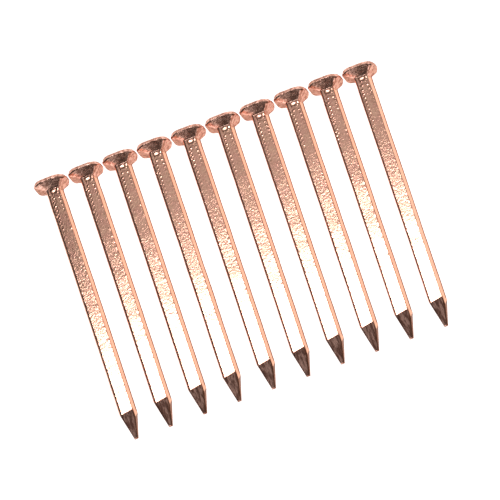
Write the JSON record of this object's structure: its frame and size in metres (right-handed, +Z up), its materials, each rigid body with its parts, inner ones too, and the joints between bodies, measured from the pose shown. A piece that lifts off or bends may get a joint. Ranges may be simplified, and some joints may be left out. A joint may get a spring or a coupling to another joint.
{
  "type": "square copper boat nail",
  "caption": "Square-shank copper boat nails with rounded-square heads, tapered undersides and four-sided points, lying side by side in a row.",
  "frame": {"origin": "middle of the row's footprint, on the surface the nails lie on", "axes": "+X along the row from nail_01 to nail_10, +Y from point to head, +Z up from the surface"},
  "size_m": [0.1128, 0.091, 0.0108],
  "materials": {
    "copper": "bright, lightly mottled from drawing and forging; solid copper"
  },
  "bodies": {
    "nail_01": {"nail_01": "copper"},
    "nail_02": {"nail_02": "copper"},
    "nail_03": {"nail_03": "copper"},
    "nail_04": {"nail_04": "copper"},
    "nail_05": {"nail_05": "copper"},
    "nail_06": {"nail_06": "copper"},
    "nail_07": {"nail_07": "copper"},
    "nail_08": {"nail_08": "copper"},
    "nail_09": {"nail_09": "copper"},
    "nail_10": {"nail_10": "copper"}
  },
  "joints": [
    {"name": "nail_02_lift", "type": "slide", "parent": "nail_01", "child": "nail_02", "axis": [0, 0, 1], "range_m": [0, 0.03]},
    {"name": "nail_03_lift", "type": "slide", "parent": "nail_01", "child": "nail_03", "axis": [0, 0, 1], "range_m": [0, 0.03]},
    {"name": "nail_04_lift", "type": "slide", "parent": "nail_01", "child": "nail_04", "axis": [0, 0, 1], "range_m": [0, 0.03]},
    {"name": "nail_05_lift", "type": "slide", "parent": "nail_01", "child": "nail_05", "axis": [0, 0, 1], "range_m": [0, 0.03]},
    {"name": "nail_06_lift", "type": "slide", "parent": "nail_01", "child": "nail_06", "axis": [0, 0, 1], "range_m": [0, 0.03]},
    {"name": "nail_07_lift", "type": "slide", "parent": "nail_01", "child": "nail_07", "axis": [0, 0, 1], "range_m": [0, 0.03]},
    {"name": "nail_08_lift", "type": "slide", "parent": "nail_01", "child": "nail_08", "axis": [0, 0, 1], "range_m": [0, 0.03]},
    {"name": "nail_09_lift", "type": "slide", "parent": "nail_01", "child": "nail_09", "axis": [0, 0, 1], "range_m": [0, 0.03]},
    {"name": "nail_10_lift", "type": "slide", "parent": "nail_01", "child": "nail_10", "axis": [0, 0, 1], "range_m": [0, 0.03]}
  ]
}
